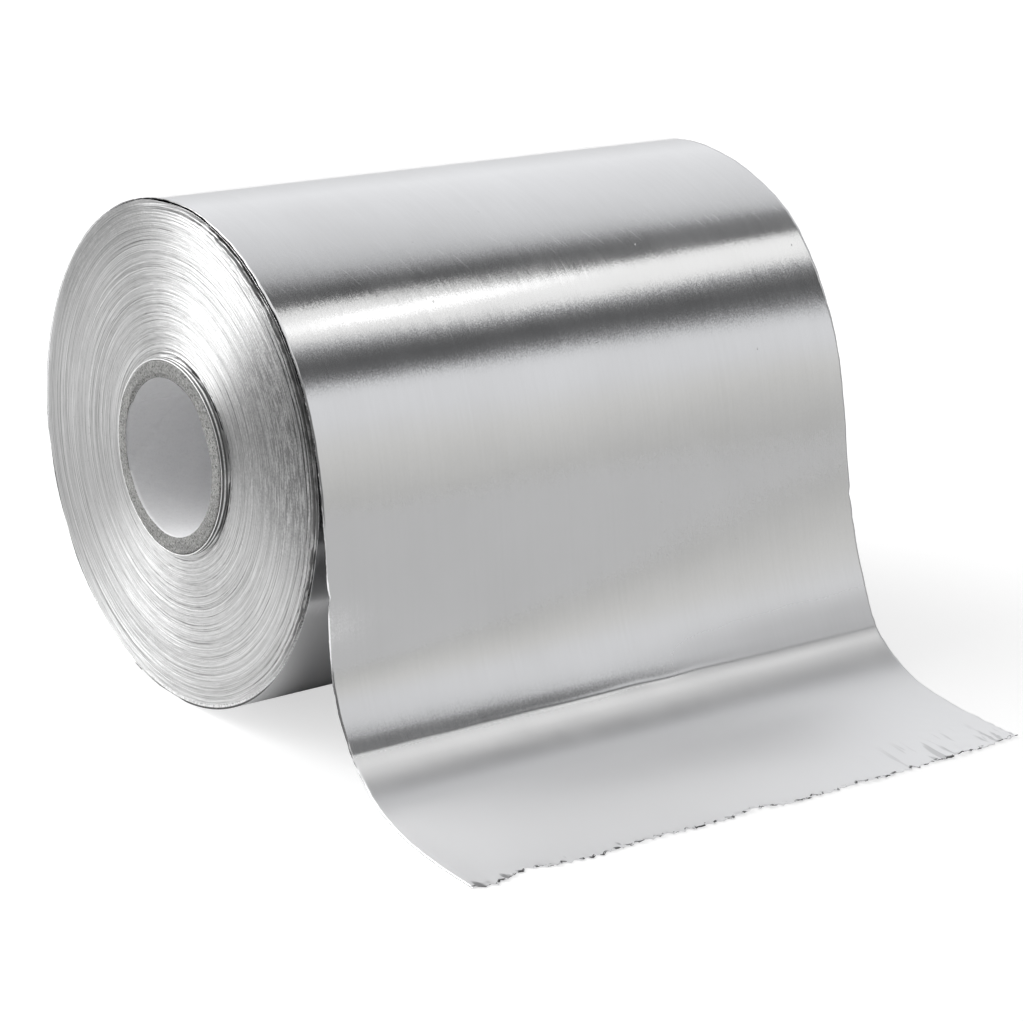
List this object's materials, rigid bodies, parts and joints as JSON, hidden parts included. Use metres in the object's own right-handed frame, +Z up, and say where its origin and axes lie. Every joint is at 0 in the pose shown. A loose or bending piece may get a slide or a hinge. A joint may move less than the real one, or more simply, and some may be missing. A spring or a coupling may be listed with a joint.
{
  "type": "foil roll",
  "caption": "Roll of aluminium foil on a chipboard core, lying on its side with the loose end hanging down to the table and a toothed torn edge",
  "frame": {"origin": "centre of the core's bore, mid-way along the roll", "axes": "+Y along the roll's axis, away from the viewer in the picture; +X out to the hanging sheet's torn edge; +Z up from the table"},
  "size_m": [0.1444, 0.1224, 0.0919],
  "materials": {
    "foil": "bright rolled foil with fine lines along its run, and closely packed turn edges on the end faces",
    "core": "grey chipboard, speckled on the cut ends, smoother in the bore"
  },
  "bodies": {
    "root": {"foil": "foil", "core": "core"}
  },
  "joints": []
}
